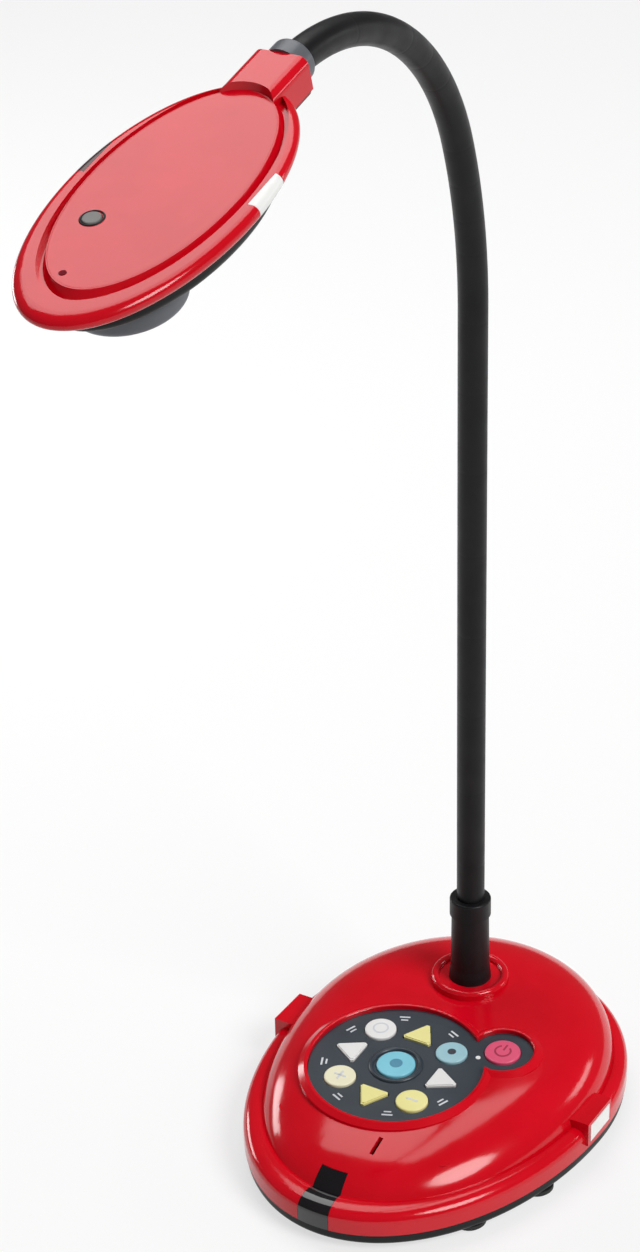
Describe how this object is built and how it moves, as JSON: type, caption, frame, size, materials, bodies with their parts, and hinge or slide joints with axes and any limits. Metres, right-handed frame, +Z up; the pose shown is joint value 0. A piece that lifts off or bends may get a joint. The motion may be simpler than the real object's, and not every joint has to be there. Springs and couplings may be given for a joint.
{
  "type": "video magnifier",
  "caption": "Gooseneck video magnifier: egg-shaped weighted base with colour-coded keys, a bendable black neck, and an oval camera head with a lens ring underneath.",
  "frame": {"origin": "table plane, under the middle of the whole object's box", "axes": "+Z up from the table, -Y towards the user, where the base's pointed end and the camera head face, +X to the user's right, where the power key is"},
  "size_m": [0.1672, 0.359, 0.5456],
  "materials": {
    "red_gloss": "glossy",
    "black_plastic": "satin",
    "foot_rubber": "matt",
    "bright_steel": "plated",
    "ballast_steel": "raw",
    "circuit_board": "satin",
    "charcoal_panel": "satin",
    "blue_key": "satin",
    "white_key": "satin",
    "yellow_key": "satin",
    "pink_key": "satin",
    "white_window": "glossy",
    "dark_window": "glossy",
    "neck_sleeve": "satin",
    "grey_plastic": "satin",
    "lens_glass": "polished",
    "dark_red_dot": "glossy"
  },
  "bodies": {
    "base": {"base_shell": "red_gloss", "base_tray": "black_plastic", "feet": "foot_rubber", "case_screws": "bright_steel", "ballast": "ballast_steel", "main_board": "circuit_board", "dc_jack": "black_plastic", "video_port": "bright_steel", "usb_port": "bright_steel", "key_board": "circuit_board", "key_panel": "charcoal_panel", "power_led": "white_window", "ir_window": "dark_window", "lug_faces": "white_window", "neck_socket": "black_plastic", "neck_nut": "bright_steel", "neck_root": "neck_sleeve"},
    "neck_01": {"neck_01": "neck_sleeve"},
    "neck_02": {"neck_02": "neck_sleeve"},
    "neck_03": {"neck_03": "neck_sleeve"},
    "neck_04": {"neck_04": "neck_sleeve"},
    "neck_05": {"neck_05": "neck_sleeve"},
    "neck_06": {"neck_06": "neck_sleeve"},
    "neck_07": {"neck_07": "neck_sleeve"},
    "neck_08": {"neck_08": "neck_sleeve"},
    "neck_09": {"neck_09": "neck_sleeve"},
    "neck_10": {"neck_10": "neck_sleeve"},
    "neck_11": {"neck_11": "neck_sleeve"},
    "neck_12": {"neck_12": "neck_sleeve"},
    "neck_13": {"neck_13": "neck_sleeve"},
    "neck_14": {"neck_14": "neck_sleeve"},
    "neck_15": {"neck_15": "neck_sleeve"},
    "head": {"neck_end": "neck_sleeve", "head_cover": "red_gloss", "head_tray": "black_plastic", "head_ferrule": "grey_plastic", "lens_ring": "grey_plastic", "lens_barrel": "black_plastic", "lens_glass": "lens_glass", "sensor_board": "circuit_board", "lamp_windows": "white_window", "head_led": "dark_red_dot", "head_screws": "bright_steel"},
    "key_ne": {"key_ne": "blue_key"},
    "key_nw": {"key_nw": "white_key"},
    "key_sw": {"key_sw": "white_key"},
    "key_se": {"key_se": "yellow_key"},
    "key_right": {"key_right": "white_key"},
    "key_up": {"key_up": "yellow_key"},
    "key_left": {"key_left": "white_key"},
    "key_down": {"key_down": "yellow_key"},
    "key_centre": {"key_centre": "blue_key"},
    "key_power": {"key_power": "pink_key"},
    "head_button": {"head_button": "grey_plastic"}
  },
  "joints": [
    {"name": "neck_pitch_01", "type": "hinge", "parent": "base", "child": "neck_01", "pos_m": [-0.006, 0.12105, 0.10886], "axis": [1, 0, 0], "range_deg": [-18, 18]},
    {"name": "neck_side_02", "type": "hinge", "parent": "neck_01", "child": "neck_02", "pos_m": [-0.006, 0.12105, 0.14909], "axis": [0, 1, 0], "range_deg": [-20, 20]},
    {"name": "neck_pitch_03", "type": "hinge", "parent": "neck_02", "child": "neck_03", "pos_m": [-0.006, 0.12105, 0.18987], "axis": [1, 0, 0], "range_deg": [-18, 18]},
    {"name": "neck_side_04", "type": "hinge", "parent": "neck_03", "child": "neck_04", "pos_m": [-0.006, 0.12105, 0.23064], "axis": [0, 1, 0], "range_deg": [-20, 20]},
    {"name": "neck_pitch_05", "type": "hinge", "parent": "neck_04", "child": "neck_05", "pos_m": [-0.006, 0.12105, 0.27142], "axis": [1, 0, 0], "range_deg": [-18, 18]},
    {"name": "neck_side_06", "type": "hinge", "parent": "neck_05", "child": "neck_06", "pos_m": [-0.006, 0.12105, 0.31165], "axis": [0, 1, 0], "range_deg": [-20, 20]},
    {"name": "neck_pitch_07", "type": "hinge", "parent": "neck_06", "child": "neck_07", "pos_m": [-0.006, 0.12105, 0.34917], "axis": [1, 0, 0], "range_deg": [-4.8, 3.2]},
    {"name": "neck_pitch_08", "type": "hinge", "parent": "neck_07", "child": "neck_08", "pos_m": [-0.006, 0.12105, 0.38178], "axis": [1, 0, 0], "range_deg": [-7.2, 4.8]},
    {"name": "neck_pitch_09", "type": "hinge", "parent": "neck_08", "child": "neck_09", "pos_m": [-0.006, 0.11933, 0.41434], "axis": [1, 0, 0], "range_deg": [-9.6, 6.4]},
    {"name": "neck_side_10", "type": "hinge", "parent": "neck_09", "child": "neck_10", "pos_m": [-0.006, 0.11677, 0.43044], "axis": [0, 0.9814, 0.192], "range_deg": [-20, 20]},
    {"name": "neck_pitch_11", "type": "hinge", "parent": "neck_10", "child": "neck_11", "pos_m": [-0.006, 0.11279, 0.44737], "axis": [1, 0, 0], "range_deg": [-12, 8]},
    {"name": "neck_pitch_12", "type": "hinge", "parent": "neck_11", "child": "neck_12", "pos_m": [-0.006, 0.10718, 0.46496], "axis": [1, 0, 0], "range_deg": [-15.6, 10.4]},
    {"name": "neck_pitch_13", "type": "hinge", "parent": "neck_12", "child": "neck_13", "pos_m": [-0.006, 0.088, 0.49826], "axis": [1, 0, 0], "range_deg": [-15.6, 10.4]},
    {"name": "neck_side_14", "type": "hinge", "parent": "neck_13", "child": "neck_14", "pos_m": [-0.006, 0.07463, 0.51176], "axis": [0, 0.6478, 0.7618], "range_deg": [-20, 20]},
    {"name": "neck_pitch_15", "type": "hinge", "parent": "neck_14", "child": "neck_15", "pos_m": [-0.006, 0.05915, 0.5228], "axis": [1, 0, 0], "range_deg": [-15.6, 10.4]},
    {"name": "neck_pitch_16", "type": "hinge", "parent": "neck_15", "child": "head", "pos_m": [-0.006, 0.01839, 0.53717], "axis": [1, 0, 0], "range_deg": [-15.6, 10.4]},
    {"name": "key_ne_press", "type": "slide", "parent": "base", "child": "key_ne", "axis": [0, 0.0599, -0.9982], "range_m": [0, 0.001], "stiffness_N_per_m": 800},
    {"name": "key_nw_press", "type": "slide", "parent": "base", "child": "key_nw", "axis": [0, 0.0599, -0.9982], "range_m": [0, 0.001], "stiffness_N_per_m": 800},
    {"name": "key_sw_press", "type": "slide", "parent": "base", "child": "key_sw", "axis": [0, 0.0599, -0.9982], "range_m": [0, 0.001], "stiffness_N_per_m": 800},
    {"name": "key_se_press", "type": "slide", "parent": "base", "child": "key_se", "axis": [0, 0.0599, -0.9982], "range_m": [0, 0.001], "stiffness_N_per_m": 800},
    {"name": "key_right_press", "type": "slide", "parent": "base", "child": "key_right", "axis": [0, 0.0599, -0.9982], "range_m": [0, 0.001], "stiffness_N_per_m": 800},
    {"name": "key_up_press", "type": "slide", "parent": "base", "child": "key_up", "axis": [0, 0.0599, -0.9982], "range_m": [0, 0.001], "stiffness_N_per_m": 800},
    {"name": "key_left_press", "type": "slide", "parent": "base", "child": "key_left", "axis": [0, 0.0599, -0.9982], "range_m": [0, 0.001], "stiffness_N_per_m": 800},
    {"name": "key_down_press", "type": "slide", "parent": "base", "child": "key_down", "axis": [0, 0.0599, -0.9982], "range_m": [0, 0.001], "stiffness_N_per_m": 800},
    {"name": "key_centre_press", "type": "slide", "parent": "base", "child": "key_centre", "axis": [0, 0.0599, -0.9982], "range_m": [0, 0.001], "stiffness_N_per_m": 800},
    {"name": "key_power_press", "type": "slide", "parent": "base", "child": "key_power", "axis": [0, 0.0599, -0.9982], "range_m": [0, 0.001], "stiffness_N_per_m": 800},
    {"name": "head_button_press", "type": "slide", "parent": "head", "child": "head_button", "axis": [0, 0.2672, -0.9636], "range_m": [0, 0.0008], "stiffness_N_per_m": 800}
  ],
  "couplings": [
    {"joint": "neck_pitch_03", "follows": "neck_pitch_01", "ratio": 1},
    {"joint": "neck_side_04", "follows": "neck_side_02", "ratio": 1},
    {"joint": "neck_pitch_05", "follows": "neck_pitch_01", "ratio": 1},
    {"joint": "neck_side_06", "follows": "neck_side_02", "ratio": 1},
    {"joint": "neck_pitch_07", "follows": "neck_pitch_11", "ratio": 0.4},
    {"joint": "neck_pitch_08", "follows": "neck_pitch_11", "ratio": 0.6},
    {"joint": "neck_pitch_09", "follows": "neck_pitch_11", "ratio": 0.8},
    {"joint": "neck_pitch_12", "follows": "neck_pitch_11", "ratio": 1.3},
    {"joint": "neck_pitch_13", "follows": "neck_pitch_11", "ratio": 1.3},
    {"joint": "neck_side_14", "follows": "neck_side_10", "ratio": 1},
    {"joint": "neck_pitch_15", "follows": "neck_pitch_11", "ratio": 1.3},
    {"joint": "neck_pitch_16", "follows": "neck_pitch_11", "ratio": 1.3}
  ]
}
